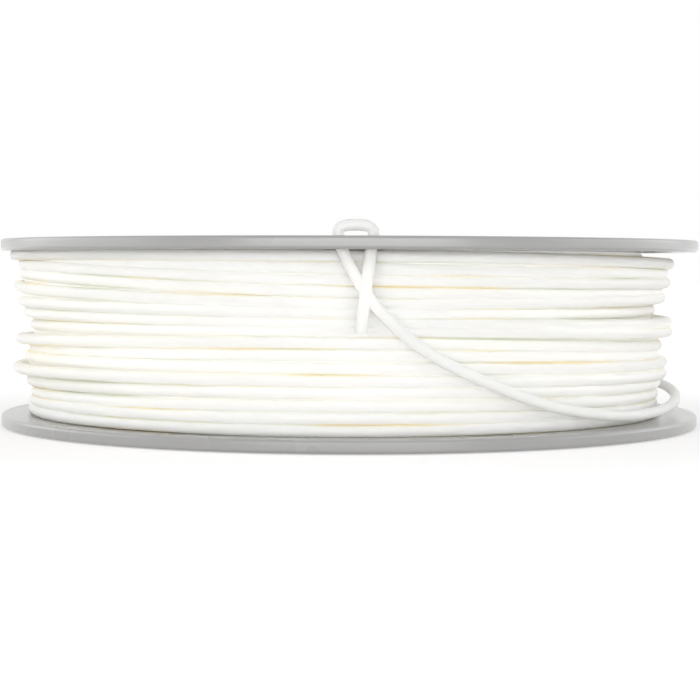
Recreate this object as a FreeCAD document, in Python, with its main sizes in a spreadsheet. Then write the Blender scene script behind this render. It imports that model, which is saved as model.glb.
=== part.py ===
import FreeCAD, Part

import math
import os

import Sketcher
from FreeCAD import Placement, Rotation, Vector

# A filament spool that lies on one flange: two moulded flanges snapped onto a ribbed hub, and the
# thick filament wound between them, with its free end tied through two holes of the upper flange.
# Millimetres, +Z up along the spindle axis, the origin on the lower flange's outer face.
# Angles round the axis count from the front (-Y) towards the right (+X).

SIZES = {
    # flanges
    "flange_diameter": 200.0,
    "rim_height": 3.3,
    "rim_band": 3.0,
    "plate_thickness": 2.2,
    "collar_margin": 5.0,
    "window_count": 4,
    "window_land": 4.0,
    "window_rim_land": 11.0,
    "window_corner": 5.0,
    "spoke_width": 18.0,
    "spoke_rib_width": 2.0,
    "tie_hole_diameter": 4.8,
    "tie_hole_spacing": 8.0,
    # hub
    "winding_width": 46.0,
    "bore_diameter": 52.0,
    "bore_wall": 2.4,
    "bore_fit": 0.15,
    "drum_diameter": 84.0,
    "drum_wall": 2.2,
    "web_thickness": 1.8,
    "web_setback": 2.0,
    "hook_width": 8.0,
    "hook_thickness": 1.6,
    "hook_catch": 1.0,
    "hook_seat_depth": 1.5,
    "hook_sink": 0.2,
    "hook_lead": 0.8,
    "hook_fit": 0.2,
    "slit_width": 1.0,
    "slit_length": 12.0,
    "start_hole_diameter": 4.6,
    "start_hole_height": 9.0,
    "start_hole_offset": 12.0,
    # filament
    "filament_diameter": 2.85,
    "winding_inset": 7.3,
    "winding_gap": 0.15,
    "groove_depth": 1.0,
    "side_grooves": 4,
    "side_groove_depth": 1.6,
    "arch_clearance": 0.7,
    "crossing_gap": 0.4,
}

document = FreeCAD.newDocument("filament_spool")
sheet = document.addObject("Spreadsheet::Sheet", "Sizes")


def fill_sheet():
    for row, (name, value) in enumerate(SIZES.items(), start=1):
        sheet.set("A%d" % row, name)
        sheet.set("B%d" % row, str(value))
        sheet.setAlias("B%d" % row, name)
    document.recompute()


def size(name):
    return float(sheet.get(name))


def of_sheet(formula):
    """A formula in which each size in angle brackets is read from the sheet."""
    for name in sorted(SIZES, key=len, reverse=True):
        formula = formula.replace("<" + name + ">", "Sizes." + name)
    return formula


# Formulas that several features share.
FLANGE_RADIUS = "(<flange_diameter> / 2)"
BORE_RADIUS = "(<bore_diameter> / 2)"
DRUM_RADIUS = "(<drum_diameter> / 2)"
TUBE_RADIUS = "(" + BORE_RADIUS + " + <bore_wall>)"
COLLAR_RADIUS = "(" + DRUM_RADIUS + " + <collar_margin>)"
RIM_INSIDE = "(" + FLANGE_RADIUS + " - <rim_band>)"
PLATE_FACE = "(<rim_height> - <plate_thickness>)"
DRUM_INSIDE = "(" + DRUM_RADIUS + " - <drum_wall>)"
HALF_WINDING = "(<winding_width> / 2)"
HALF_WIDTH = "(<winding_width> / 2 + <rim_height>)"
WINDOW_OUTSIDE = "(" + RIM_INSIDE + " - <window_rim_land>)"
WINDING_RADIUS = "(" + FLANGE_RADIUS + " - <winding_inset>)"
TIE_RADIUS = "(" + WINDING_RADIUS + " + <winding_gap> + <filament_diameter> / 2)"
HALF_STEP = "(180 / <window_count>)"
ARM_INSIDE = "(" + DRUM_RADIUS + " - (<drum_wall> + <hook_thickness>) / 2)"
ARM_OUTSIDE = "(" + ARM_INSIDE + " + <hook_thickness>)"
CATCH_TIP = "(" + ARM_INSIDE + " - <hook_catch>)"
HALF_HOOK = "(<hook_width> / 2)"


def bind(thing, path, formula):
    thing.setExpression(path, of_sheet(formula))


def new_sketch(body, name, role):
    sketch = body.newObject("Sketcher::SketchObject", name)
    plane = next(item for item in body.Origin.OriginFeatures if item.Role == role)
    sketch.AttachmentSupport = (plane, [""])
    sketch.MapMode = "FlatFace"
    return sketch


def dimension(sketch, constraint, label, formula):
    index = sketch.addConstraint(constraint)
    sketch.renameConstraint(index, label)
    bind(sketch, "Constraints." + label, formula)


def outline(sketch, corners):
    """Draws a closed outline of straight edges, each corner held by two formulas."""
    first = sketch.GeometryCount
    count = len(corners)
    spots = []
    for i in range(count):
        turn = 2 * math.pi * i / count
        spots.append(Vector(20 + 10 * math.cos(turn), 20 + 10 * math.sin(turn), 0))
    for i in range(count):
        sketch.addGeometry(Part.LineSegment(spots[i], spots[(i + 1) % count]))
    for i in range(count):
        joined = first + (i + 1) % count
        sketch.addConstraint(Sketcher.Constraint("Coincident", first + i, 2, joined, 1))
    for i, corner in enumerate(corners):
        for kind, axis, formula in (("DistanceX", "x", corner[0]), ("DistanceY", "y", corner[1])):
            held = Sketcher.Constraint(kind, first + i, 1, 20.0)
            dimension(sketch, held, "corner_%d_%s" % (first + i, axis), formula)


def circle(sketch, across, up, diameter):
    """Draws a circle whose centre and diameter are held by formulas."""
    index = sketch.addGeometry(Part.Circle(Vector(20, 20, 0), Vector(0, 0, 1), 5))
    for kind, axis, formula in (("DistanceX", "x", across), ("DistanceY", "y", up)):
        dimension(sketch, Sketcher.Constraint(kind, index, 3, 20.0), "centre_%d_%s" % (index, axis), formula)
    dimension(sketch, Sketcher.Constraint("Diameter", index, 10.0), "width_%d" % index, diameter)


def tip_shape(body):
    document.recompute()
    return body.Tip.Shape


def cut(body, name, sketch, depth=None, reverse=False, both_ways=False):
    """Cuts a sketch out of the body, and makes sure that material really goes."""
    before = tip_shape(body).Volume
    pocket = body.newObject("PartDesign::Pocket", name)
    pocket.Profile = sketch
    pocket.Reversed = reverse
    if both_ways:
        pocket.SideType = "Symmetric"
    if depth is None:
        pocket.Type = "ThroughAll"
    else:
        pocket.Type = "Length"
        bind(pocket, "Length", depth)
    body.Tip = pocket
    if not tip_shape(body).Volume < before - 0.01:
        raise RuntimeError(name + " cuts nothing")
    return pocket


def pad(body, name, sketch, height, both_ways=False):
    padded = body.newObject("PartDesign::Pad", name)
    padded.Profile = sketch
    if both_ways:
        padded.SideType = "Symmetric"
    bind(padded, "Length", height)
    body.Tip = padded
    return padded


def turn(body, name, sketch):
    turned = body.newObject("PartDesign::Revolution", name)
    turned.Profile = sketch
    turned.ReferenceAxis = (sketch, ["V_Axis"])
    turned.Angle = 360
    body.Tip = turned


def repeat(body, name, features):
    """Repeats features round the spindle axis, once for each window."""
    pattern = body.newObject("PartDesign::PolarPattern", name)
    pattern.Originals = features
    axis = next(item for item in body.Origin.OriginFeatures if item.Role == "Z_Axis")
    pattern.Axis = (axis, [""])
    pattern.Angle = 360
    bind(pattern, "Occurrences", "<window_count>")
    body.Tip = pattern
    return pattern


def slanted(along, aside, angle):
    """A sketch point that lies along a ray at an angle, and some way to its left."""
    cosine = "cos(" + angle + ")"
    sine = "sin(" + angle + ")"
    across = "(" + along + ") * " + cosine + " - (" + aside + ") * " + sine
    up = "(" + along + ") * " + sine + " + (" + aside + ") * " + cosine
    return across, up


def slanted_box(sketch, start, end, half_width, angle):
    """Draws a rectangle along a ray from the axis."""
    outline(sketch, [
        slanted(start, "-" + half_width, angle),
        slanted(end, "-" + half_width, angle),
        slanted(end, half_width, angle),
        slanted(start, half_width, angle),
    ])


def window_sketch(body):
    """One window between two spokes: a piece of a ring with straight sides and round corners."""
    step = 2 * math.pi / size("window_count")
    corner = size("window_corner")
    offset = size("spoke_width") / 2 + corner
    low = size("drum_diameter") / 2 + size("collar_margin") + size("window_land")
    high = size("flange_diameter") / 2 - size("rim_band") - size("window_rim_land")
    up = Vector(0, 0, 1)
    sketch = new_sketch(body, "WindowOutline", "XY_Plane")

    def ray(angle):
        return Vector(math.cos(angle), math.sin(angle), 0)

    def bearing(point):
        return math.atan2(point.y, point.x)

    def arc(centre, radius, start, end):
        return sketch.addGeometry(Part.ArcOfCircle(Part.Circle(centre, up, radius), start, end))

    def corner_centre(reach, spoke, side):
        along = math.sqrt(reach ** 2 - offset ** 2)
        return ray(spoke) * along + ray(spoke + side * math.pi / 2) * offset

    low_first = corner_centre(low + corner, 0, 1)
    low_last = corner_centre(low + corner, step, -1)
    high_first = corner_centre(high - corner, 0, 1)
    high_last = corner_centre(high - corner, step, -1)
    first_away = -math.pi / 2
    last_away = step + math.pi / 2

    inner = arc(Vector(), low, bearing(low_first), bearing(low_last))
    outer = arc(Vector(), high, bearing(high_first), bearing(high_last))
    low_first_arc = arc(low_first, corner, bearing(low_first) + math.pi, first_away + 2 * math.pi)
    low_last_arc = arc(low_last, corner, last_away, bearing(low_last) + math.pi)
    high_first_arc = arc(high_first, corner, first_away, bearing(high_first))
    high_last_arc = arc(high_last, corner, bearing(high_last), last_away)
    first_side = sketch.addGeometry(Part.LineSegment(
        low_first + ray(first_away) * corner, high_first + ray(first_away) * corner))
    last_side = sketch.addGeometry(Part.LineSegment(
        low_last + ray(last_away) * corner, high_last + ray(last_away) * corner))

    joints = [
        (inner, 1, low_first_arc, 1), (low_first_arc, 2, first_side, 1),
        (first_side, 2, high_first_arc, 1), (high_first_arc, 2, outer, 1),
        (outer, 2, high_last_arc, 1), (high_last_arc, 2, last_side, 2),
        (last_side, 1, low_last_arc, 1), (low_last_arc, 2, inner, 2),
    ]
    for first, first_end, second, second_end in joints:
        sketch.addConstraint(Sketcher.Constraint("Tangent", first, first_end, second, second_end))
    for ring in (inner, outer):
        sketch.addConstraint(Sketcher.Constraint("Coincident", ring, 3, -1, 1))
    sketch.addConstraint(Sketcher.Constraint("Horizontal", first_side))
    dimension(sketch, Sketcher.Constraint("Angle", first_side, 1, last_side, 1, step),
              "step_angle", HALF_STEP + " * 2 deg")
    dimension(sketch, Sketcher.Constraint("Radius", inner, low), "low_radius",
              COLLAR_RADIUS + " + <window_land>")
    dimension(sketch, Sketcher.Constraint("Radius", outer, high), "high_radius", WINDOW_OUTSIDE)
    corner_arcs = (low_first_arc, low_last_arc, high_first_arc, high_last_arc)
    for index, corner_arc in enumerate(corner_arcs):
        dimension(sketch, Sketcher.Constraint("Radius", corner_arc, corner),
                  "corner_radius_%d" % index, "<window_corner>")
    for index, side in enumerate((first_side, last_side)):
        dimension(sketch, Sketcher.Constraint("Distance", -1, 1, side, size("spoke_width") / 2),
                  "half_spoke_%d" % index, "<spoke_width> / 2")
    return sketch


def make_flange(label):
    """A flange with its outer face at height 0, its winding face above, and a spoke along +X."""
    body = document.addObject("PartDesign::Body", label)
    body.Label = label
    profile = new_sketch(body, "FlangeProfile", "XZ_Plane")
    hole = TUBE_RADIUS + " + <bore_fit>"
    outline(profile, [
        (hole, "0"),
        (COLLAR_RADIUS, "0"),
        (COLLAR_RADIUS, PLATE_FACE),
        (RIM_INSIDE, PLATE_FACE),
        (RIM_INSIDE, "0"),
        (FLANGE_RADIUS, "0"),
        (FLANGE_RADIUS, "<rim_height>"),
        (hole, "<rim_height>"),
    ])
    turn(body, "FlangeDisc", profile)

    window = cut(body, "Window", window_sketch(body), both_ways=True)
    repeat(body, "Windows", [window])

    rib_outline = new_sketch(body, "SpokeRibOutline", "XY_Plane")
    slanted_box(rib_outline, COLLAR_RADIUS + " - <rim_band>", RIM_INSIDE + " + <rim_band> / 2",
                "(<spoke_rib_width> / 2)", "0")
    rib = pad(body, "SpokeRib", rib_outline, PLATE_FACE)
    repeat(body, "SpokeRibs", [rib])

    tie_outline = new_sketch(body, "TieHoleOutline", "XY_Plane")
    for sign in ("-", ""):
        circle(tie_outline, TIE_RADIUS, sign + "<tie_hole_spacing> / 2", "<tie_hole_diameter>")
    cut(body, "TieHoles", tie_outline, both_ways=True)

    slot_outline = new_sketch(body, "HookSlotOutline", "XY_Plane")
    slot_inside = ARM_INSIDE + " - <hook_fit>"
    slot_outside = ARM_OUTSIDE + " + <hook_catch> + <hook_fit>"
    half_slot = "(" + HALF_HOOK + " + <hook_fit>)"
    slanted_box(slot_outline, slot_inside, slot_outside, half_slot, HALF_STEP)
    slot = cut(body, "HookSlot", slot_outline, both_ways=True)
    repeat(body, "HookSlots", [slot])

    seat_outline = new_sketch(body, "HookSeatOutline", "XY_Plane")
    seat_inside = CATCH_TIP + " - <hook_fit>"
    slanted_box(seat_outline, seat_inside, slot_outside, half_slot, HALF_STEP)
    seat = cut(body, "HookSeat", seat_outline, "<hook_seat_depth>", reverse=True)
    repeat(body, "HookSeats", [seat])
    return body


def make_hub():
    """The ribbed hub round its own middle, with a snap hook along +X at each end."""
    body = document.addObject("PartDesign::Body", "hub_core")
    body.Label = "hub_core"

    drum_outline = new_sketch(body, "DrumOutline", "XY_Plane")
    circle(drum_outline, "0", "0", "<drum_diameter>")
    circle(drum_outline, "0", "0", DRUM_INSIDE + " * 2")
    pad(body, "Drum", drum_outline, "<winding_width>", both_ways=True)

    slit_outline = new_sketch(body, "SlitOutline", "YZ_Plane")
    for end in ("-", ""):
        for side in ("-", ""):
            near = side + HALF_HOOK
            far = side + "(" + HALF_HOOK + " + <slit_width>)"
            tip = end + HALF_WIDTH
            root = end + "(" + HALF_WINDING + " - <slit_length>)"
            outline(slit_outline, [(near, tip), (far, tip), (far, root), (near, root)])
    slit = cut(body, "Slit", slit_outline, reverse=True)
    repeat(body, "Slits", [slit])

    start_outline = new_sketch(body, "StartHoleOutline", "YZ_Plane")
    circle(start_outline, "<start_hole_offset>", "<start_hole_height> - " + HALF_WINDING,
           "<start_hole_diameter>")
    cut(body, "StartHole", start_outline, reverse=True)

    hook_outline = new_sketch(body, "HookOutline", "XZ_Plane")
    for end in ("-", ""):
        root = end + "(" + HALF_WINDING + " - <hook_thickness>)"
        tip = end + "(" + HALF_WIDTH + " - <hook_sink>)"
        lead = end + "(" + HALF_WIDTH + " - <hook_sink> - <hook_lead>)"
        seat = end + "(" + HALF_WIDTH + " - <hook_seat_depth>)"
        outline(hook_outline, [
            (ARM_INSIDE, root),
            (ARM_OUTSIDE, root),
            (ARM_OUTSIDE, tip),
            (ARM_INSIDE, tip),
            (CATCH_TIP, lead),
            (CATCH_TIP, seat),
            (ARM_INSIDE, seat),
        ])
    hook = pad(body, "Hook", hook_outline, "<hook_width>", both_ways=True)
    repeat(body, "Hooks", [hook])

    web_outline = new_sketch(body, "WebOutline", "XY_Plane")
    slanted_box(web_outline, TUBE_RADIUS + " - <bore_wall> / 2", DRUM_INSIDE + " + <drum_wall> / 2",
                "(<web_thickness> / 2)", HALF_STEP)
    web = pad(body, "Web", web_outline, "<winding_width> - 2 * <web_setback>", both_ways=True)
    repeat(body, "Webs", [web])

    tube_outline = new_sketch(body, "BoreTubeOutline", "XY_Plane")
    circle(tube_outline, "0", "0", TUBE_RADIUS + " * 2")
    circle(tube_outline, "0", "0", "<bore_diameter>")
    pad(body, "BoreTube", tube_outline, HALF_WIDTH + " * 2", both_ways=True)
    return body


# How the visible turns lie, from the top down, against even turns at the winding's radius: the lift
# and bulge at the left, the lift in front, and the lift and bulge at the right, in millimetres.
OUTER_TURNS = [
    (0.1, 4.9, -0.3, -1.7, 0.5),
    (1.7, 1.1, -0.3, -1.6, -1.1),
    (3.0, 2.4, -0.2, -1.3, -0.4),
    (3.1, 1.9, -0.3, -0.8, -2.7),
    (1.9, 3.6, -0.3, 0.3, -1.8),
    (1.5, 2.6, 0.3, -0.2, -4.7),
    (0.7, 0.5, 0.6, -1.0, 0.1),
    (0.2, -0.9, 1.6, -0.9, 0.1),
    (-1.0, 3.2, 1.6, -1.9, -3.9),
    (-0.6, -0.8, 1.4, -1.6, -3.7),
    (-0.3, 0.0, 1.0, -0.9, -1.2),
    (-1.0, 4.1, 0.7, -1.1, -1.2),
    (-1.4, 0.3, 0.8, -1.0, -3.1),
    (-1.4, -1.1, 0.3, -1.2, -3.8),
    (-0.8, 0.1, 0.1, -1.1, -3.9),
    (0.0, -0.7, 0.0, 0.0, -3.3),
]


def winding_section(share, lifts, bulges, depth):
    """A circle across the winding at a share of its height, tilted by lifts and moved by bulges."""
    left, front, right, back = lifts
    radius = size("flange_diameter") / 2 - size("winding_inset")
    shrink = min(sum(bulges) / 2, 0)
    room = "(<winding_width> - 2 * <winding_gap>)"
    section = document.addObject("Part::Circle", "TurnSection")
    section.Placement = Placement(
        Vector((bulges[1] - bulges[0]) / 2, 0, 0),
        Rotation(Vector(0, 0, 1), Vector((left - right) / 2, (front - back) / 2, radius)))
    bind(section, "Radius", WINDING_RADIUS + " %+.2f - %s" % (shrink, depth))
    bind(section, "Placement.Base.z",
         "<rim_height> + <winding_gap> + %s * %.4f %+.3f" % (room, share, sum(lifts) / 4))
    return section


def make_winding_room():
    """The ring between drum and flanges that the winding fills, grooved where the windows show it."""
    body = document.addObject("PartDesign::Body", "WindingRoom")
    profile = new_sketch(body, "RoomProfile", "XZ_Plane")
    step = "(" + WINDOW_OUTSIDE + " - " + COLLAR_RADIUS + ") / <side_grooves>"
    inside = DRUM_RADIUS + " + <winding_gap>"
    sides = []
    for face, inward in (("<rim_height> + <winding_gap>", " + "),
                         ("<rim_height> + <winding_width> - <winding_gap>", " - ")):
        side = [(inside, face), (COLLAR_RADIUS, face)]
        for i in range(round(size("side_grooves"))):
            side.append(("%s + %s * %.1f" % (COLLAR_RADIUS, step, i + 0.5),
                         face + inward + "<side_groove_depth>"))
            side.append(("%s + %s * %d" % (COLLAR_RADIUS, step, i + 1), face))
        side.append((FLANGE_RADIUS, face))
        sides.append(side)
    outline(profile, sides[0] + sides[1][::-1])
    turn(body, "RoomRing", profile)
    return body


def make_winding():
    """The wound filament as one ring, outside with a ridge for each turn, tilted and off centre."""
    count = len(OUTER_TURNS)
    pitch = size("winding_width") / count
    ridges = []
    for i, (left, left_bulge, front, right, right_bulge) in enumerate(OUTER_TURNS):
        next_right = OUTER_TURNS[min(i + 1, count - 1)][3]
        back = (left + next_right - pitch) / 2 if i + 1 < count else left
        ridges.append(((left, front, right, back), (left_bulge, right_bulge)))

    level = (0, 0, 0, 0)
    sections = [winding_section(1, level, ridges[0][1], "<groove_depth>")]
    for i, (lifts, bulges) in enumerate(ridges):
        sections.append(winding_section((count - i - 0.5) / count, lifts, bulges, "0"))
        if i + 1 < count:
            next_lifts, next_bulges = ridges[i + 1]
            between = [(a + b) / 2 for a, b in zip(lifts, next_lifts)]
            lower = [min(a, b) for a, b in zip(bulges, next_bulges)]
            sections.append(winding_section((count - i - 1) / count, between, lower, "<groove_depth>"))
    sections.append(winding_section(0, level, ridges[-1][1], "<groove_depth>"))

    wound = document.addObject("Part::Loft", "WoundTurns")
    wound.Sections = sections
    wound.Solid = True
    wound.Ruled = True
    ring = document.addObject("Part::Common", "wound_filament")
    ring.Label = "wound_filament"
    ring.Base = wound
    ring.Tool = make_winding_room()
    return ring


# How much of the shorter run beside a bend of a strand its arc takes up.
ARC_SHARE = 0.45


def strand(label, points):
    """A round strand of filament along straight runs joined by tangent arcs."""
    diameter = size("filament_diameter")
    edges = []
    radii = []
    last = points[0]
    for before, corner, after in zip(points, points[1:], points[2:]):
        arriving = corner - before
        leaving = after - corner
        half_turn = arriving.getAngle(leaving) / 2
        reach = ARC_SHARE * min(arriving.Length, leaving.Length)
        radius = reach / math.tan(half_turn)
        arriving.normalize()
        leaving.normalize()
        inward = leaving - arriving
        inward.normalize()
        start = corner - arriving * reach
        middle = corner + inward * (radius / math.cos(half_turn) - radius)
        end = corner + leaving * reach
        edges.append(Part.LineSegment(last, start).toShape())
        edges.append(Part.Arc(start, middle, end).toShape())
        radii.append(round(radius, 1))
        last = end
    edges.append(Part.LineSegment(last, points[-1]).toShape())
    path = Part.Wire(edges)
    section = Part.Wire(Part.makeCircle(diameter / 2, points[0], points[1] - points[0]))
    tube = path.makePipeShell([section], True, True)
    full = math.pi * diameter ** 2 / 4 * path.Length
    if abs(tube.Volume - full) > 0.01 * full:
        raise RuntimeError(label + " doesn't fill its section along its whole length")
    print(label, "length", round(path.Length, 1), "bend radii", radii)
    feature = document.addObject("Part::Feature", label)
    feature.Label = label
    feature.Shape = tube
    return feature


def round_spool(angle, height, radius):
    turned = math.radians(angle)
    return Vector(radius * math.sin(turned), -radius * math.cos(turned), height)


# The last turn where it lies free on the winding, as degrees round from the front and height.
# It comes along the lower flange at the right and climbs across the front.
LAST_TURN = [(63, 6.4), (46, 6.1), (30.5, 10.6), (17, 19.4), (6.5, 30.6)]

# The tip that hangs from the second hole: millimetres right of the front and below the flange.
TIP = [(3.0, 7.5), (1.6, 20.0)]


def last_turn_points(rest_radius):
    """The points of the last turn, each far enough out for its runs to clear the winding."""
    angles = [angle for angle, height in LAST_TURN]
    points = []
    for i, (angle, height) in enumerate(LAST_TURN):
        nearby = angles[max(i - 1, 0):i + 2]
        widest = max(abs(angle - other) for other in nearby)
        points.append(round_spool(angle, height, rest_radius / math.cos(math.radians(widest / 2))))
    return points


def make_free_end():
    """The last turn, then up one hole of the upper flange, over, down the next and a loose tip."""
    diameter = size("filament_diameter")
    winding_radius = size("flange_diameter") / 2 - size("winding_inset")
    rest_radius = winding_radius + size("winding_gap") + diameter / 2
    over_radius = rest_radius + diameter + size("crossing_gap")
    aside = size("tie_hole_spacing") / 2
    arch_height = spool_width + size("arch_clearance") + diameter / 2
    return strand("free_end", last_turn_points(rest_radius) + [
        Vector(-aside, -rest_radius, face_height - 2 * diameter),
        Vector(-aside, -rest_radius, arch_height),
        Vector(aside, -rest_radius, arch_height),
        Vector(aside, -rest_radius, face_height - diameter / 2),
    ] + [Vector(right, -over_radius, face_height - below) for right, below in TIP])


def make_filament_start():
    """The inner end, through the drum's hole and a little way into the space between two webs."""
    tube_radius = size("bore_diameter") / 2 + size("bore_wall")
    drum_radius = size("drum_diameter") / 2
    halfway = (tube_radius + drum_radius - size("drum_wall")) / 2
    height = size("start_hole_height") - size("winding_width") / 2
    offset = size("start_hole_offset")
    feature = strand("filament_start", [
        Vector(drum_radius, offset, height),
        Vector(halfway, offset, height),
    ])
    drum_surface = Part.makeCylinder(
        drum_radius + size("winding_gap"), size("winding_width"), Vector(0, 0, -size("winding_width") / 2))
    feature.Shape = feature.Shape.common(drum_surface)
    return feature


fill_sheet()
face_height = size("rim_height") + size("winding_width")
spool_width = face_height + size("rim_height")
half_step = 180 / size("window_count")
upright = Vector(0, 0, 1)

# The upper flange turns its spoke with the tie holes to the front, and the lower one to the back.
lower_flange = make_flange("lower_flange")
lower_flange.Placement = Placement(Vector(), Rotation(upright, 90))

upper_flange = make_flange("upper_flange")
flip = Rotation(Vector(0, 1, 0), 180)
upper_flange.Placement = Placement(Vector(0, 0, spool_width), flip * Rotation(upright, -90))
bind(upper_flange, "Placement.Base.z", HALF_WIDTH + " * 2")

hub_core = make_hub()
hub_core.Placement = Placement(Vector(0, 0, spool_width / 2), Rotation(upright, half_step - 90))
bind(hub_core, "Placement.Base.z", HALF_WIDTH)

wound_filament = make_winding()
free_end = make_free_end()
filament_start = make_filament_start()
filament_start.Placement = hub_core.Placement

document.recompute()
for item in document.Objects:
    if "Invalid" in item.State or "Error" in item.State:
        raise RuntimeError(item.Label + " failed")
os.makedirs("parts", exist_ok=True)
for item in (lower_flange, upper_flange, hub_core, wound_filament, free_end, filament_start):
    shape = item.Shape
    if shape.isNull() or not shape.isValid():
        raise RuntimeError(item.Label + " has no valid shape")
    shape.exportStep(os.path.join("parts", item.Label + ".step"))
    print(item.Label, "solids", len(shape.Solids), "volume", round(shape.Volume / 1000, 2), "cm3")
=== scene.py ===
# %% [markdown]
# # A full spool of thick white filament
# This lesson dresses the solids of a filament spool in Blender: the two grey moulded flanges and
# their hub get rounded edges and a satin plastic, and the plain ring of wound filament becomes
# real strands that sink, ride up and cross. The spool lies on its lower flange, and its front is
# the side where the free end of the filament is tied through the upper flange.

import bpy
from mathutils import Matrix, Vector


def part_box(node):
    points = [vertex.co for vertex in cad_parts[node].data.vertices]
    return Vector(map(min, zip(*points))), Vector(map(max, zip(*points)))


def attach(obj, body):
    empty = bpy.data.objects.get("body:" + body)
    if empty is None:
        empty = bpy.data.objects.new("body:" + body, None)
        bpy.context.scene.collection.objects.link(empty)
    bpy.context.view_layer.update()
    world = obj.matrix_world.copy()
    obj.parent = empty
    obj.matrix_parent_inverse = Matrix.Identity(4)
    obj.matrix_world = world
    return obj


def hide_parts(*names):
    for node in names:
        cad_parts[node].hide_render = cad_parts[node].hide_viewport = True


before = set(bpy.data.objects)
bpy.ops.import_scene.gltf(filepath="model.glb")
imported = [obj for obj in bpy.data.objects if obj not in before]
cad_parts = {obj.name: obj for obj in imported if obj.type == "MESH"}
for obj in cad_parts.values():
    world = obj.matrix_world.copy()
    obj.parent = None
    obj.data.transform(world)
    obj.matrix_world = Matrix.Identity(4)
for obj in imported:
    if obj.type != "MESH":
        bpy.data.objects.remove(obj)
print("solids:", ", ".join(sorted(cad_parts)))

# %% [markdown]
# ## Sizes that everything shares
# Blender counts in metres, but a spool is easier to describe in millimetres, so lengths are written
# as a number of millimetres times MM. The flanges are measured on the solids, and what isn't there,
# such as the thickness of the strand, is named once. Places on the winding are easiest to think of
# as a direction round the spindle, a height and a distance from the axis, and around() turns these
# into a point. Angles are in degrees and count from the front towards the right.

# %% Sizes and places
import math
import random

import bmesh
import bpy
from mathutils import Matrix, Vector

MM = 0.001
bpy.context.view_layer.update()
FLANGE_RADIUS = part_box("lower_flange")[1].x
LOWER_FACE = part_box("lower_flange")[1].z
UPPER_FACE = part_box("upper_flange")[0].z
STRAND = 2.85 * MM
SEED = 7


def around(angle, height, radius):
    """A point by its angle from the front, its height and its distance from the axis."""
    turned = math.radians(angle)
    return Vector((radius * math.sin(turned), -radius * math.cos(turned), height))


print("flange radius", round(FLANGE_RADIUS / MM, 1), "mm, winding from", round(LOWER_FACE / MM, 1),
      "to", round(UPPER_FACE / MM, 1), "mm")

# %% [markdown]
# ## The camera
# The photograph was taken from not far away and from almost the height of the upper flange: the
# rim of the lower flange curves down, and that of the upper one hardly at all. The distance, the
# height and the lens together set those two curves, so they were worked out from them. The camera
# leans down by a few degrees to centre the spool, turns towards the spindle, and rolls a little, so
# that the ends of both rims are level.

# %% Camera
CAMERA_DISTANCE = 560.6 * MM
CAMERA_HEIGHT = 45.4 * MM
CAMERA_SIDE = -0.9
CAMERA_LENS = 98.88
CAMERA_DOWN = 2.52
CAMERA_ROLL = -0.167
CAMERA_TURN = -0.914

camera = bpy.data.objects.new("camera", bpy.data.cameras.new("camera"))
bpy.context.collection.objects.link(camera)
camera.data.lens = CAMERA_LENS
camera.data.sensor_width = 36.0
camera.data.clip_start = 0.01
camera.location = around(CAMERA_SIDE, CAMERA_HEIGHT, CAMERA_DISTANCE)
camera.rotation_euler = [math.radians(angle)
                         for angle in (90 - CAMERA_DOWN, CAMERA_ROLL, CAMERA_TURN)]
bpy.context.scene.camera = camera
print("camera at", [round(value, 3) for value in camera.location])

# %% [markdown]
# ## Rays that look at the background
# The spool stands on white paper in front of white. If that white came from more light, the spool
# would get too bright, so floor and world only look white to some rays: those that come straight
# from the camera, off a gloss or through something clear. The Light Path node tells them apart.
# The view transform is Standard, because it shows a strength of 1 as plain white.

# %% Helper for the background
def looks_at_background(nodes, links):
    """1 for a ray that comes straight from the camera, off a gloss or through glass, else 0."""
    seen_by = nodes.new("ShaderNodeLightPath")
    found = seen_by.outputs["Is Camera Ray"]
    for kind in ("Is Glossy Ray", "Is Transmission Ray"):
        either = nodes.new("ShaderNodeMath")
        either.operation = "MAXIMUM"
        links.new(found, either.inputs[0])
        links.new(seen_by.outputs[kind], either.inputs[1])
        found = either.outputs[0]
    return found


bpy.context.scene.view_settings.view_transform = "Standard"
print("view transform:", bpy.context.scene.view_settings.view_transform)

# %% [markdown]
# ## The floor
# The floor is one big face that takes the spool's shadow. It lies a hair below the spool's lower
# face, because two faces at the same height would show through each other in patches.

# %% Floor
FLOOR_REACH = 4.0
FLOOR_DROP = 0.25 * MM

bm = bmesh.new()
bmesh.ops.create_grid(bm, x_segments=1, y_segments=1, size=FLOOR_REACH)
bmesh.ops.translate(bm, verts=bm.verts, vec=(0, 0, -FLOOR_DROP))
floor_mesh = bpy.data.meshes.new("floor")
bm.to_mesh(floor_mesh)
bm.free()
floor = bpy.data.objects.new("floor", floor_mesh)
bpy.context.collection.objects.link(floor)
print("floor reaches", FLOOR_REACH, "m each way")

# %% [markdown]
# Its paper is pale and matt. For background rays it also glows: little beside the spool, where the
# shadow has to stay, and more with the distance from the spindle, so that it fades to white. A Map
# Range node turns that distance, in metres, into the strength of the glow.

# %% Paper that fades to white
PAPER = (0.85, 0.84, 0.84, 1)
GLOW = {"From Min": 0.12, "From Max": 0.5, "To Min": 0.44, "To Max": 0.88}

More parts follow.
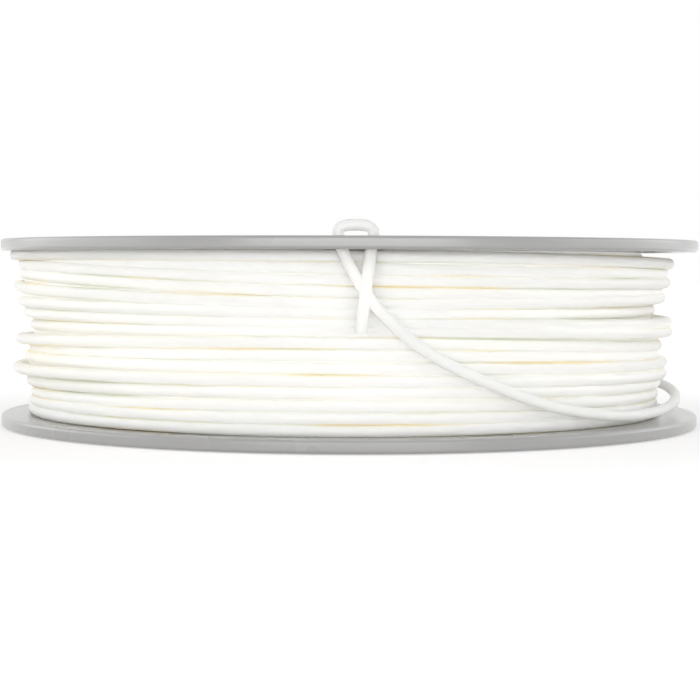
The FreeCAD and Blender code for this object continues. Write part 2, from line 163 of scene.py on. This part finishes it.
floor_paper = bpy.data.materials.new("white paper")
floor_paper.use_nodes = True
nodes, links = floor_paper.node_tree.nodes, floor_paper.node_tree.links
nodes.clear()
paper = nodes.new("ShaderNodeBsdfDiffuse")
paper.inputs["Color"].default_value = PAPER
place = nodes.new("ShaderNodeTexCoord")
away = nodes.new("ShaderNodeVectorMath")
away.operation = "LENGTH"
fade = nodes.new("ShaderNodeMapRange")
for socket, value in GLOW.items():
    fade.inputs[socket].default_value = value
lift = nodes.new("ShaderNodeMath")
lift.operation = "MULTIPLY"
glow = nodes.new("ShaderNodeEmission")
both = nodes.new("ShaderNodeAddShader")
output = nodes.new("ShaderNodeOutputMaterial")
links.new(place.outputs["Object"], away.inputs[0])
links.new(away.outputs["Value"], fade.inputs["Value"])
links.new(fade.outputs["Result"], lift.inputs[0])
links.new(looks_at_background(nodes, links), lift.inputs[1])
links.new(lift.outputs[0], glow.inputs["Strength"])
links.new(paper.outputs[0], both.inputs[0])
links.new(glow.outputs[0], both.inputs[1])
links.new(both.outputs[0], output.inputs["Surface"])
floor_mesh.materials.append(floor_paper)
print("paper glows from", GLOW["To Min"], "to", GLOW["To Max"])

# %% [markdown]
# ## The world
# The world does the same in another way: a Mix Shader picks full white for background rays and a
# dimmer white for all others, which then works as an even fill light from all sides.

# %% White world
WORLD_FILL = 0.45

world = bpy.data.worlds.new("white studio")
world.use_nodes = True
bpy.context.scene.world = world
nodes, links = world.node_tree.nodes, world.node_tree.links
nodes.clear()
choose = nodes.new("ShaderNodeMixShader")
output = nodes.new("ShaderNodeOutputWorld")
for i, strength in ((1, WORLD_FILL), (2, 1.0)):
    background = nodes.new("ShaderNodeBackground")
    background.inputs["Color"].default_value = (1, 1, 1, 1)
    background.inputs["Strength"].default_value = strength
    links.new(background.outputs[0], choose.inputs[i])
links.new(looks_at_background(nodes, links), choose.inputs["Fac"])
links.new(choose.outputs[0], output.inputs["Surface"])
print("world fills with", WORLD_FILL)

# %% [markdown]
# ## Lights
# The grey rims show soft bands: bright in the middle and at both ends, darker in between. On a
# round rim the middle mirrors what is behind the camera and the ends mirror what is beside the
# spool, so there is one soft light over the camera and one at each side. Big area lights keep the
# shadows in the winding faint.

# %% Three soft lights
LIGHTS = {
    "front light": {"place": (0.0, -1.3, 0.2), "size": (1.7, 0.4), "power": 7.4},
    "left light": {"place": (-1.3, 0.15, 0.4), "size": (1.6, 0.7), "power": 5.1},
    "right light": {"place": (1.3, 0.15, 0.4), "size": (1.6, 0.7), "power": 4.1},
}
SPOOL_MIDDLE = Vector((0, 0, 26 * MM))

for name, facts in LIGHTS.items():
    light = bpy.data.lights.new(name, "AREA")
    light.shape = "RECTANGLE"
    light.size, light.size_y = facts["size"]
    light.energy = facts["power"]
    lamp = bpy.data.objects.new(name, light)
    lamp.location = facts["place"]
    lamp.rotation_euler = (SPOOL_MIDDLE - lamp.location).to_track_quat("-Z", "Y").to_euler()
    lamp.visible_camera = False
    bpy.context.collection.objects.link(lamp)
    print(name, facts["power"], "W")

# %% [markdown]
# ## A shared effect: uneven surface
# Neither moulded plastic nor filament is perfectly even. Both have cloudy patches where tone and
# gloss change slightly, and a fine grain that only shows in a reflection. One node group makes
# both from noise on Object coordinates, so the pattern stays put when the view changes, and each
# material sets its own scales. The group gives masks and values only: shaders stay outside it.

# %% Node group for an uneven surface
PATCH_EDGES = (0.35, 0.65)


def make_uneven_surface():
    group = bpy.data.node_groups.new("uneven surface", "ShaderNodeTree")
    for name, value in (("Patch Scale", 30.0), ("Grain Scale", 900.0),
                        ("Roughness From", 0.4), ("Roughness To", 0.5)):
        socket = group.interface.new_socket(name, in_out="INPUT", socket_type="NodeSocketFloat")
        socket.default_value = value
    for name in ("Patches", "Grain", "Roughness"):
        group.interface.new_socket(name, in_out="OUTPUT", socket_type="NodeSocketFloat")
    nodes, links = group.nodes, group.links
    given = nodes.new("NodeGroupInput")
    result = nodes.new("NodeGroupOutput")
    place = nodes.new("ShaderNodeTexCoord")
    patches = nodes.new("ShaderNodeTexNoise")
    patches.inputs["Detail"].default_value = 3.0
    grain = nodes.new("ShaderNodeTexNoise")
    grain.inputs["Detail"].default_value = 2.0
    spread = nodes.new("ShaderNodeMapRange")
    spread.inputs["From Min"].default_value, spread.inputs["From Max"].default_value = PATCH_EDGES
    gloss = nodes.new("ShaderNodeMapRange")
    for noise, scale in ((patches, "Patch Scale"), (grain, "Grain Scale")):
        links.new(place.outputs["Object"], noise.inputs["Vector"])
        links.new(given.outputs[scale], noise.inputs["Scale"])
    links.new(patches.outputs["Fac"], spread.inputs["Value"])
    links.new(spread.outputs["Result"], gloss.inputs["Value"])
    links.new(given.outputs["Roughness From"], gloss.inputs["To Min"])
    links.new(given.outputs["Roughness To"], gloss.inputs["To Max"])
    links.new(spread.outputs["Result"], result.inputs["Patches"])
    links.new(grain.outputs["Fac"], result.inputs["Grain"])
    links.new(gloss.outputs["Result"], result.inputs["Roughness"])
    return group


uneven_surface = make_uneven_surface()
print("uneven surface has", len(uneven_surface.nodes), "nodes")

# %% [markdown]
# ## A material with that surface
# All materials of the spool are built alike: two near tones follow the patches, the gloss follows
# them too, and a Bump node turns the grain into a relief of a few hundredths of a millimetre.
# make_material() returns the material and its shader, so that each can get its own last touches.

# %% Helper for materials
GRAIN_HEIGHT = 0.05 * MM


def make_material(name, tones, patch_scale, grain_scale, roughness, bump):
    """A material of two near tones in patches, with a fine grain in its gloss."""
    material = bpy.data.materials.new(name)
    material.use_nodes = True
    nodes, links = material.node_tree.nodes, material.node_tree.links
    shader = nodes["Principled BSDF"]
    surface = nodes.new("ShaderNodeGroup")
    surface.node_tree = uneven_surface
    surface.inputs["Patch Scale"].default_value = patch_scale
    surface.inputs["Grain Scale"].default_value = grain_scale
    surface.inputs["Roughness From"].default_value = roughness[0]
    surface.inputs["Roughness To"].default_value = roughness[1]
    tone = nodes.new("ShaderNodeMix")
    tone.data_type = "RGBA"
    tone.inputs["A"].default_value = (*tones[0], 1)
    tone.inputs["B"].default_value = (*tones[1], 1)
    relief = nodes.new("ShaderNodeBump")
    relief.inputs["Strength"].default_value = bump
    relief.inputs["Distance"].default_value = GRAIN_HEIGHT
    links.new(surface.outputs["Patches"], tone.inputs["Factor"])
    links.new(tone.outputs["Result"], shader.inputs["Base Color"])
    links.new(surface.outputs["Roughness"], shader.inputs["Roughness"])
    links.new(surface.outputs["Grain"], relief.inputs["Height"])
    links.new(relief.outputs["Normal"], shader.inputs["Normal"])
    print("material:", name)
    return material, shader


# %% [markdown]
# ## The plastic of the spool
# The flanges and the hub are one grey plastic with a satin, finely spark-eroded finish. Its ends
# shine more than its middle, as any smooth surface does at a low angle. A thin clear coat on top of
# the satin base does that: its weight and roughness are the same all over, so they are set on the
# shader's own sockets.

# %% Satin grey plastic
spool_plastic, plastic_shader = make_material(
    "satin grey plastic", tones=((0.395, 0.392, 0.39), (0.415, 0.412, 0.408)), patch_scale=22.0,
    grain_scale=1500.0, roughness=(0.26, 0.32), bump=0.3)
plastic_shader.inputs["Coat Weight"].default_value = 0.75
plastic_shader.inputs["Coat Roughness"].default_value = 0.25
print("coat weight", plastic_shader.inputs["Coat Weight"].default_value)

# %% [markdown]
# ## The filament
# The filament is natural white. Light enters it and comes out again nearby, which softens the
# grooves between strands, and a little subsurface scattering does that. The free end is one
# material. The outer turns get a second, with shade painted in yellow and green streaks into its
# grooves further down. The strand that shows between them gets a third, a warm cream copy of the
# white, which is painted shade for where light has gone through a lot of filament. The wound
# strands lie close together, so their light spreads further, but at a lower weight.

# %% Three kinds of white, one of them painted shade
SPREAD_BY_COLOUR = (1.0, 0.95, 0.85)

filament_white, filament_shader = make_material(
    "natural white filament", tones=((0.94, 0.94, 0.92), (0.95, 0.95, 0.935)), patch_scale=38.0,
    grain_scale=700.0, roughness=(0.36, 0.46), bump=0.15)
wound_white, wound_shader = make_material(
    "wound white filament", tones=((0.93, 0.93, 0.91), (0.94, 0.94, 0.925)), patch_scale=38.0,
    grain_scale=700.0, roughness=(0.36, 0.46), bump=0.15)
# A cream and green copy of the white: painted shade for the strand between the turns
cream_painted_shade, groove_shader = make_material(
    "cream filament as painted groove shade", tones=((0.93, 0.86, 0.56), (0.90, 0.92, 0.82)), patch_scale=45.0,
    grain_scale=700.0, roughness=(0.40, 0.50), bump=0.15)
for shader, weight, reach in ((filament_shader, 0.8, 7.0), (wound_shader, 0.5, 12.0),
                              (groove_shader, 0.5, 12.0)):
    shader.subsurface_method = "BURLEY"
    shader.inputs["Subsurface Weight"].default_value = weight
    shader.inputs["Subsurface Radius"].default_value = SPREAD_BY_COLOUR
    shader.inputs["Subsurface Scale"].default_value = reach * MM
    print("light spreads", reach, "mm at weight", weight)

# %% [markdown]
# ## A second effect: painted shade in tinted streaks along the grooves
# Where light gets lost between two strands, the filament looks yellow or a little green, in streaks
# along the groove, and this group makes the mask by which that shade is painted into the colour. A
# point lies in a groove if its normal doesn't point away from the spindle, so the group compares
# the normal with the direction outwards. That takes several steps of vector maths and Map Range
# nodes, so there is a helper for each of them.

# %% Helpers for the steps of a group
def vector_step(nodes, operation, vector=None):
    """A step of vector maths, with its second vector if that is a fixed one."""
    step = nodes.new("ShaderNodeVectorMath")
    step.operation = operation
    if vector:
        step.inputs[1].default_value = vector
    return step


def fit_step(nodes, limits):
    """A Map Range node: the two values that it reads, and the two that it makes of them."""
    fit = nodes.new("ShaderNodeMapRange")
    for socket, value in zip(("From Min", "From Max", "To Min", "To Max"), limits):
        fit.inputs[socket].default_value = value
    return fit


# %% [markdown]
# Noise breaks the painted shade into streaks. It is stretched, so that a streak is about ten times
# as long round the spool as it is high. A second noise picks the hue, and reads another place, so
# that strength and hue don't go together.

# %% Node group for the painted shade in the grooves
STREAK_STRETCH = (22.0, 22.0, 240.0)
HUE_SHIFT = (9, 5, 3)
# IN_GROOVE picks out the grooves, where the shade is painted into the colour
IN_GROOVE = (0.80, 0.35, 0.0, 1.0)
STREAKY = (0.50, 0.66, 0.25, 1.0)
HUE_CHOICE = (0.42, 0.58, 0.0, 1.0)


def make_painted_groove_shade():
    group = bpy.data.node_groups.new("painted groove shade", "ShaderNodeTree")
    for name in ("Amount", "Hue"):
        group.interface.new_socket(name, in_out="OUTPUT", socket_type="NodeSocketFloat")
    nodes, links = group.nodes, group.links
    result = nodes.new("NodeGroupOutput")
    place = nodes.new("ShaderNodeTexCoord")
    flat = vector_step(nodes, "MULTIPLY", (1, 1, 0))
    outwards = vector_step(nodes, "NORMALIZE")
    facing = vector_step(nodes, "DOT_PRODUCT")
    stretched = vector_step(nodes, "MULTIPLY", STREAK_STRETCH)
    shifted = vector_step(nodes, "ADD", HUE_SHIFT)
    in_groove, streaky, hue = (fit_step(nodes, limits)
                               for limits in (IN_GROOVE, STREAKY, HUE_CHOICE))
    streak_noise, hue_noise = (nodes.new("ShaderNodeTexNoise") for _ in range(2))
    for noise in (streak_noise, hue_noise):
        noise.inputs["Scale"].default_value = 1.0
    amount = nodes.new("ShaderNodeMath")
    amount.operation = "MULTIPLY"
    links.new(place.outputs["Object"], flat.inputs[0])
    links.new(flat.outputs[0], outwards.inputs[0])
    links.new(outwards.outputs[0], facing.inputs[0])
    links.new(place.outputs["Normal"], facing.inputs[1])
    links.new(facing.outputs["Value"], in_groove.inputs["Value"])
    links.new(place.outputs["Object"], stretched.inputs[0])
    links.new(stretched.outputs[0], streak_noise.inputs["Vector"])
    links.new(stretched.outputs[0], shifted.inputs[0])
    links.new(shifted.outputs[0], hue_noise.inputs["Vector"])
    links.new(streak_noise.outputs["Fac"], streaky.inputs["Value"])
    links.new(hue_noise.outputs["Fac"], hue.inputs["Value"])
    links.new(in_groove.outputs["Result"], amount.inputs[0])
    links.new(streaky.outputs["Result"], amount.inputs[1])
    links.new(amount.outputs[0], result.inputs["Amount"])
    links.new(hue.outputs["Result"], result.inputs["Hue"])
    return group


painted_groove_shade = make_painted_groove_shade()
print("painted groove shade has", len(painted_groove_shade.nodes), "nodes")

# %% [markdown]
# The material of the outer turns takes the streaks of painted shade in between its own tones and
# its
# shader: one Mix node picks the hue, yellow or a dull green, and another lays it over the white by
# the amount.

# %% Painted shade streaks on the outer turns
# The two hues of the painted shade in the grooves
GROOVE_SHADE_YELLOW = (0.86, 0.75, 0.43, 1)
GROOVE_SHADE_GREEN = (0.66, 0.69, 0.53, 1)

nodes, links = wound_white.node_tree.nodes, wound_white.node_tree.links
streaks = nodes.new("ShaderNodeGroup")
streaks.node_tree = painted_groove_shade
hue = nodes.new("ShaderNodeMix")
tinted = nodes.new("ShaderNodeMix")
hue.data_type = tinted.data_type = "RGBA"
hue.inputs["A"].default_value = GROOVE_SHADE_YELLOW
hue.inputs["B"].default_value = GROOVE_SHADE_GREEN
links.new(streaks.outputs["Hue"], hue.inputs["Factor"])
# The painted shade goes over the white by the streaks' amount
links.new(streaks.outputs["Amount"], tinted.inputs["Factor"])
links.new(wound_shader.inputs["Base Color"].links[0].from_socket, tinted.inputs["A"])
links.new(hue.outputs["Result"], tinted.inputs["B"])
links.new(tinted.outputs["Result"], wound_shader.inputs["Base Color"])
print("wound filament has", len(nodes), "nodes")

# %% [markdown]
# ## Putting a piece in the scene
# Every new piece rides on the spool's one body, gets its material, and may stand for solids that
# aren't shown then.

# %% Helper for new pieces
def add_piece(name, data, material, stands_for=()):
    piece = bpy.data.objects.new(name, data)
    bpy.context.collection.objects.link(piece)
    data.materials.append(material)
    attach(piece, "root")
    if stands_for:
        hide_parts(*stands_for)
    print("piece:", name)
    return piece


# %% [markdown]
# ## Flanges and hub: rounded edges
# The solids of the flanges and the hub already have the right windows, ribs, holes and hooks, but
# a moulded part has no knife edges: a fine highlight runs along each edge. The edges to round
# stand out and turn by more than 40 degrees, and those on the big rim are told apart by their
# distance from the axis. The bevel doesn't slide along the edges that end at the rim, because that
# would make it wider or narrower there.

# %% Helpers for round edges
SHARP_ANGLE = math.radians(40)
RIM_TOLERANCE = 0.05 * MM


def sharp_edges(bm):
    return [edge for edge in bm.edges
            if edge.is_convex and edge.calc_face_angle(0) > SHARP_ANGLE]


def on_rim(edge):
    return all(abs(vert.co.xy.length - FLANGE_RADIUS) < RIM_TOLERANCE for vert in edge.verts)


def round_edges(bm, edges, width, segments):
    bmesh.ops.bevel(bm, geom=edges, offset=width, offset_type="OFFSET", segments=segments,
                    profile=0.5, affect="EDGES", clamp_overlap=True, loop_slide=False, material=-1)


# %% [markdown]
# A copy of each solid's mesh is merged and its flat areas are joined again, so that a bevel finds
# whole edges. The small edges are rounded first and then the rim, which gets more. The Weighted
# Normal modifier keeps the flats flat beside the round edges.

# %% Rounded mouldings
RIM_ROUND = 0.8 * MM
EDGE_ROUND = 0.25 * MM
FLAT_ANGLE = math.radians(0.5)
MERGE_DISTANCE = 0.002 * MM


def finish_moulding(name, node):
    bm = bmesh.new()
    bm.from_mesh(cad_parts[node].data)
    bmesh.ops.remove_doubles(bm, verts=bm.verts, dist=MERGE_DISTANCE)
    bmesh.ops.dissolve_limit(bm, angle_limit=FLAT_ANGLE, verts=bm.verts, edges=bm.edges)
    small = [edge for edge in sharp_edges(bm) if not on_rim(edge)]
    round_edges(bm, small, EDGE_ROUND, segments=2)
    rim = [edge for edge in sharp_edges(bm) if on_rim(edge)]
    print(name, "rounds", len(rim), "rim edges and", len(small), "others")
    if rim:
        round_edges(bm, rim, RIM_ROUND, segments=4)
    for face in bm.faces:
        face.smooth = True
    mesh = bpy.data.meshes.new(name)
    bm.to_mesh(mesh)
    bm.free()
    mesh.set_sharp_from_angle(angle=SHARP_ANGLE)
    piece = add_piece(name, mesh, spool_plastic, [node])
    even = piece.modifiers.new("even normals", "WEIGHTED_NORMAL")
    even.keep_sharp = True


finish_moulding("lower_moulding", "lower_flange")
finish_moulding("upper_moulding", "upper_flange")
finish_moulding("hub_moulding", "hub_core")

# %% [markdown]
# ## The sides of the winding
# Through the windows of the flanges the winding shows its sides: each layer's last strand before
# it turns back, ring inside ring. Strands of one layer lie in the valleys of the layer below, so
# every second ring sits half a strand deeper. Each ring is a circle, spun once round the spindle.
# Two plain tubes close the gaps between the rings, one round the drum and one under the outer
# turns.

# %% Ring upon ring
DRUM_RADIUS = 42.0 * MM
WINDING_GAP = 0.15 * MM
LAYER_STEP = STRAND * math.sin(math.radians(60))
FIRST_LAYER = DRUM_RADIUS + STRAND / 2 + WINDING_GAP
SIDE_LAYERS = 18
RING_STEPS = 120
RING_SIDES = 12
RING_WOBBLE = 0.1 * MM
TUBE_RADII = (DRUM_RADIUS + 0.5 * MM, FIRST_LAYER + (SIDE_LAYERS - 1) * LAYER_STEP)
TUBE_DEPTH = 0.9 * STRAND


def add_section(bm, height, radius):
    upright = Matrix.Translation((radius, 0, height)) @ Matrix.Rotation(math.radians(90), 4, "X")
    bmesh.ops.create_circle(bm, segments=RING_SIDES, radius=STRAND / 2, matrix=upright)


bm = bmesh.new()
wobble = random.Random(SEED)
for layer in range(SIDE_LAYERS):
    radius = FIRST_LAYER + layer * LAYER_STEP
    depth = STRAND / 2 + WINDING_GAP + (STRAND / 2 if layer % 2 else 0)
    add_section(bm, LOWER_FACE + depth + wobble.uniform(0, RING_WOBBLE), radius)
    add_section(bm, UPPER_FACE - depth - wobble.uniform(0, RING_WOBBLE), radius)
bmesh.ops.spin(bm, geom=bm.verts[:] + bm.edges[:], cent=(0, 0, 0), axis=(0, 0, 1),
               angle=math.radians(360), steps=RING_STEPS, use_merge=True)
for radius in TUBE_RADII:
    bmesh.ops.create_cone(bm, cap_ends=False, segments=RING_STEPS, radius1=radius, radius2=radius,
                          depth=UPPER_FACE - LOWER_FACE - 2 * TUBE_DEPTH,
                          matrix=Matrix.Translation((0, 0, (UPPER_FACE + LOWER_FACE) / 2)))
bmesh.ops.recalc_face_normals(bm, faces=bm.faces)
for face in bm.faces:
    face.smooth = True
sides_mesh = bpy.data.meshes.new("winding_sides")
bm.to_mesh(sides_mesh)
bm.free()
add_piece("winding_sides", sides_mesh, filament_white, ["wound_filament"])
print("winding sides:", len(sides_mesh.polygons), "faces")

# %% [markdown]
# ## Strands as bevelled curves
# A strand is a NURBS curve with a round bevel. Such a curve is drawn towards its points without
# reaching them, so it runs a little inside a ring of points, and pull_out() says by how much the
# points of a ring are to be moved out for it. The spline's order only takes hold once all its
# points are there, so it is set last. The bevel depth is one metre, and each point's own radius
# scales it down to the strand's, because Blender measures a curve's box by the points' radius.

# %% Helpers for strands
def pull_out(step):
    """How much further out than the strand its points lie, a step in degrees apart."""
    return 1 / math.cos(math.radians(step / 2))


def make_strand(name, routes, thickness, material, stands_for=()):
    curve = bpy.data.curves.new(name, "CURVE")
    curve.dimensions = "3D"
    curve.bevel_depth = 1.0
    curve.bevel_resolution = 5
    curve.resolution_u = 4
    curve.render_resolution_u = 4
    curve.use_fill_caps = True
    for i, route in enumerate(routes):
        spline = curve.splines.new("NURBS")
        spline.points.add(len(route) - 1)
        for point, place in zip(spline.points, route):
            point.co = (*place, 1)
            point.radius = thickness / 2
        spline.order_u = 3
        spline.use_endpoint_u = True
        spline.material_index = i
    return add_piece(name, curve, material, stands_for)


# %% [markdown]
# ## The outer turns
# From the side the winding is anything but even: strands bulge out at the left, sink at the right,
# lie on top of each other and slant from groove to groove. Each turn is set against an even one by
# a few facts: how much higher it lies at the left, the front and the right, and how much further
# out at the left and the right. The back is halfway to the next turn. That gives four stops for
# each turn, each a height and a distance from the axis.

# %% Stops of the outer turns
WINDING_RADIUS = FLANGE_RADIUS - 7.3 * MM

# Lift and bulge at the left, lift in front, lift and bulge at the right, in millimetres.
OUTER_TURNS = [
    (0.4, 4.9, 0.0, -1.7, 0.5),
    (2.3, 1.1, -0.3, -1.6, -1.1),
    (3.9, 2.4, -0.2, -1.3, -0.4),
    (4.1, 2.0, -0.3, -0.6, -2.7),
    (3.1, 4.0, -0.3, 0.6, -1.8),
    (1.7, 2.8, 0.3, -0.2, -4.7),
    (1.5, 1.2, 0.6, -1.0, 0.2),
    (0.6, -0.7, 1.6, -0.9, 0.2),
    (-0.5, 3.4, 1.6, -1.9, -2.6),
    (-0.1, -0.6, 1.4, -1.6, -3.2),
    (0.4, 0.7, 1.0, -0.9, -1.2),
    (0.1, 4.3, 0.7, -1.1, -1.2),
    (-0.7, 0.4, 0.8, -1.0, -3.1),
    (-0.9, -1.3, 0.3, -1.2, -3.8),
    (-0.4, -0.6, 0.1, -1.1, -3.9),
    (0.0, -0.3, 0.0, 0.0, -3.3),
]


def even_height(turn, turns):
    """The height of a turn's strand, counted from the top, if all turns were laid evenly."""
    room = UPPER_FACE - LOWER_FACE - 2 * WINDING_GAP
    return UPPER_FACE - WINDING_GAP - room * (turn + 0.5) / turns


def stops_of(turns, radius):
    """Height and radius of the strand at the right, front, left and back of each turn."""
    stops = []
    for i, (left, left_bulge, front, right, right_bulge) in enumerate(turns):
        height = even_height(i, len(turns))
        left_height = height + left * MM
        next_right = left_height
        if i + 1 < len(turns):
            next_right = even_height(i + 1, len(turns)) + turns[i + 1][3] * MM
        stops += [(height + right * MM, radius + right_bulge * MM), (height + front * MM, radius),
                  (left_height, radius + left_bulge * MM), ((left_height + next_right) / 2, radius)]
    return stops


laid_stops = stops_of(OUTER_TURNS, WINDING_RADIUS - STRAND / 2)
print("outer turns:", len(OUTER_TURNS), "with", len(laid_stops), "stops")

# %% [markdown]
# The turns are one strand all the way, so they are one curve. A smooth blend joins its stops round
# the spool, and a small seeded wobble keeps it from looking turned on a lathe: a strand sinks in
# more easily than it stands out. Both ends of the strand dive under the other turns, with a stop
# more at the back and one more at the right.

# %% Wind the strand
BACK = 180
QUARTER = 90
POINTS_PER_QUARTER = 6
UNEVENNESS = 0.2 * MM
START_DEPTH = 3.7 * MM
END_DEPTH = 6.2 * MM


def blend_through(before, start, end, after, share):
    """A smooth curve through four even-spaced values, from the second to the third."""
    slope_out = (end - before) / 2
    slope_in = (after - start) / 2
    square, cube = share ** 2, share ** 3
    return ((2 * cube - 3 * square + 1) * start + (cube - 2 * square + share) * slope_out
            + (3 * square - 2 * cube) * end + (cube - square) * slope_in)


def wind(stops, unevenness):
    """Points of one strand that starts at the back and runs over the right and the front."""
    chance = random.Random(SEED)
    padded = [stops[0], *stops, stops[-1], stops[-1]]
    outward = pull_out(QUARTER / POINTS_PER_QUARTER)
    points = []
    for i in range(len(stops)):
        for k in range(POINTS_PER_QUARTER):
            share = k / POINTS_PER_QUARTER
            height, radius = (
                blend_through(*(padded[i + j][n] for j in range(4)), share) for n in range(2))
            height += chance.uniform(-0.5, 0.5) * unevenness
            radius += chance.uniform(-1.0, 0.5) * unevenness
            points.append(around(BACK - QUARTER * (i + share), height, radius * outward))
    return points


outer_stops = [(even_height(0, len(OUTER_TURNS)), laid_stops[0][1] - START_DEPTH), *laid_stops,
               (laid_stops[-1][0], laid_stops[-1][1] - END_DEPTH)]
outer_route = wind(outer_stops, UNEVENNESS)
print("outer turns:", len(outer_route), "points")

# %% [markdown]
# Where two turns gape, the layer beneath shows. Its strand lies in the valley between them, so its
# stops come from theirs, one turn apart: halfway in height, and a little further in than the inner
# one of the two. It is part of the same piece as the outer turns, because the light that spreads
# under the skin of the filament only spreads within a piece. Wound strands press against each
# other, so they are drawn a little thicker than the free end.

# %% The strand in the valleys, and both together
STOPS_PER_TURN = 4
VALLEY_DEPTH = 1.3 * MM
WOUND_STRAND = 3.1 * MM

valley_stops = []
for upper, lower in zip(outer_stops, outer_stops[STOPS_PER_TURN:]):
    valley_stops.append(((upper[0] + lower[0]) / 2, min(upper[1], lower[1]) - VALLEY_DEPTH))
valley_route = wind(valley_stops, 0)
wound_turns = make_strand("wound_turns", [outer_route, valley_route], WOUND_STRAND, wound_white)
# The valley strand takes the cream copy of the white, painted shade between the turns
wound_turns.data.materials.append(cream_painted_shade)
print("valley strand:", len(valley_route), "points")

# %% [markdown]
# ## The free end
# The last turn comes round the back over the others, drops to the lower flange at the right,
# climbs across the front and goes up through one hole of the upper flange. It arches over to the
# next hole and comes down again, and its tip hangs in front of the winding. It is the same strand,
# so it is made the same way, along points that follow the solid and, round the back, the winding.

# %% Last turn, arch and tip
# Degrees from the front, height and distance from the axis, in millimetres.
LAST_TURN = [
    (214, 14.0, 89.5), (206, 14.6, 91.5), (196, 15.0, 94.4), (175, 14.3, 95.6), (151, 13.6, 95.6),
    (127, 12.7, 95.4), (105, 11.3, 94.8), (88, 9.6, 94.9), (72, 7.3, 94.9), (58, 6.1, 94.9),
    (46, 6.5, 94.8), (36, 8.6, 94.7), (28, 11.7, 94.7), (20.5, 16.4, 94.6), (14, 21.2, 94.6),
    (9, 26.1, 94.5), (5.2, 31.4, 94.4), (2.0, 37.4, 94.4), (-0.5, 43.8, 94.4),
]
# Right of the spindle, behind it and height, in millimetres.
ARCH_AND_TIP = [
    (-3.7, -94.3, 50.0), (-4.7, -94.3, 54.8), (0.0, -94.3, 55.4), (4.7, -94.3, 54.8),
    (3.9, -94.4, 50.2), (3.2, -96.9, 45.6), (2.5, -97.5, 40.5), (1.8, -97.6, 34.7),
    (1.2, -97.5, 28.9),
]

free_route = [around(angle, height * MM, radius * MM) for angle, height, radius in LAST_TURN]
free_route += [Vector(place) * MM for place in ARCH_AND_TIP]
make_strand("free_strand", [free_route], STRAND, filament_white, ["free_end"])
print("free end:", len(free_route), "points")

# %% [markdown]
# ## The inner end
# The start of the filament pokes through a hole of the hub. Its solid has the right shape, so it
# stays and only gets the filament's material.

# %% Inner end
inner_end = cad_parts["filament_start"]
inner_end.data.materials.clear()
inner_end.data.materials.append(filament_white)
print("inner end:", len(inner_end.data.polygons), "faces")
